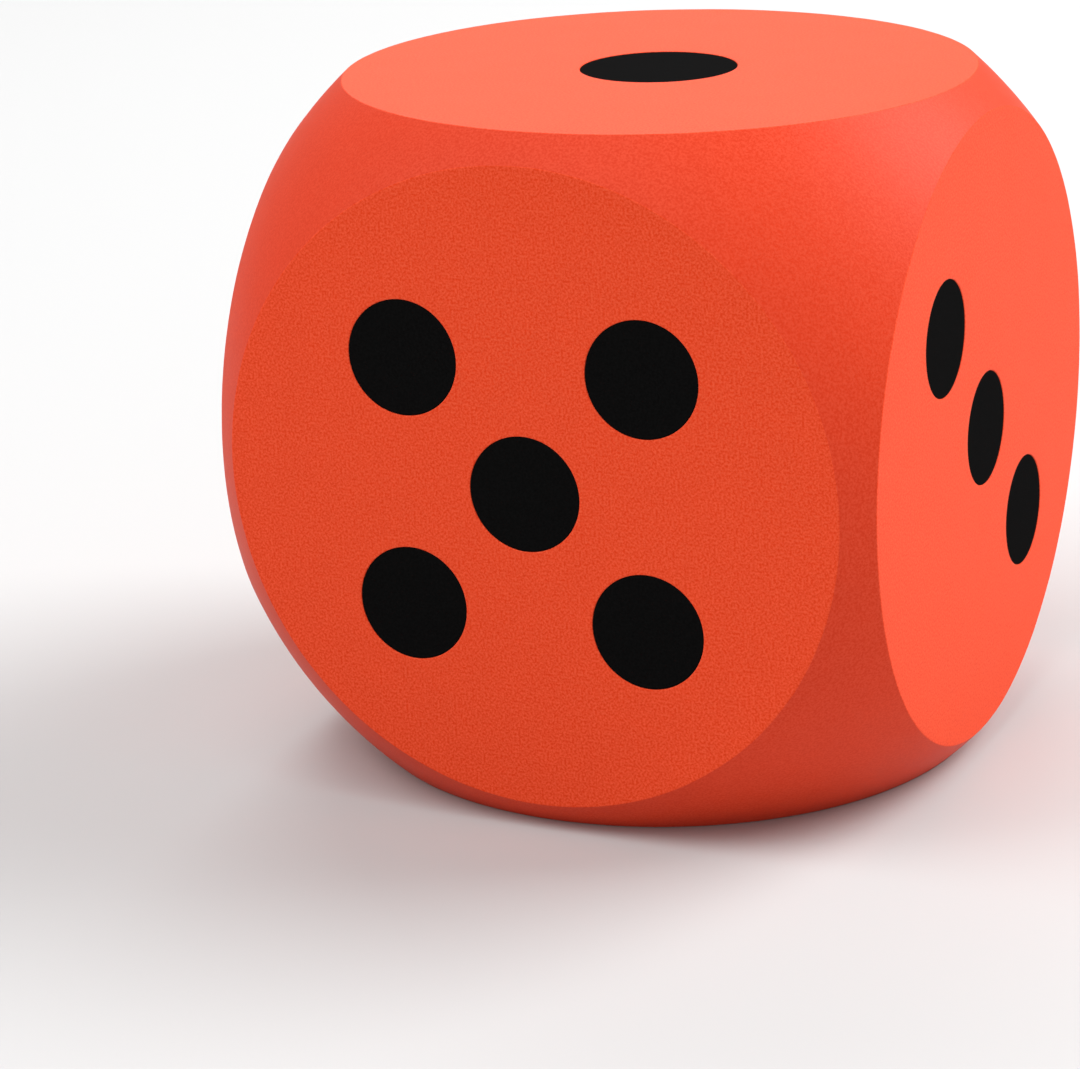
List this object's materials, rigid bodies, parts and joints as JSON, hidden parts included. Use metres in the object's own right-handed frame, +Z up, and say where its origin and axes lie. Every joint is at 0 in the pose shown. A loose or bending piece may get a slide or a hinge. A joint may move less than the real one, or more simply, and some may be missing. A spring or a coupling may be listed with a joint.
{
  "type": "giant foam dice",
  "caption": "Large soft foam dice with ground round corners, flat round faces and flush black inlaid pips, for throwing on a lawn.",
  "frame": {"origin": "centre of the flat round face that the dice stands on, which shows six", "axes": "+Z up through the face that shows one, -Y out of the face that shows five, +X out of the face that shows three"},
  "size_m": [0.2, 0.2, 0.2],
  "materials": {
    "orange_foam": "matte",
    "black_foam": "matte"
  },
  "bodies": {
    "root": {"foam_slab_bottom": "orange_foam", "foam_slab_lower": "orange_foam", "foam_slab_upper": "orange_foam", "foam_slab_top": "orange_foam", "pip_one_centre": "black_foam", "pip_two_top_left": "black_foam", "pip_two_bottom_right": "black_foam", "pip_three_top_left": "black_foam", "pip_three_centre": "black_foam", "pip_three_bottom_right": "black_foam", "pip_four_top_left": "black_foam", "pip_four_top_right": "black_foam", "pip_four_bottom_left": "black_foam", "pip_four_bottom_right": "black_foam", "pip_five_top_left": "black_foam", "pip_five_top_right": "black_foam", "pip_five_bottom_left": "black_foam", "pip_five_bottom_right": "black_foam", "pip_five_centre": "black_foam", "pip_six_top_left": "black_foam", "pip_six_top_right": "black_foam", "pip_six_middle_left": "black_foam", "pip_six_middle_right": "black_foam", "pip_six_bottom_left": "black_foam", "pip_six_bottom_right": "black_foam"}
  },
  "joints": []
}
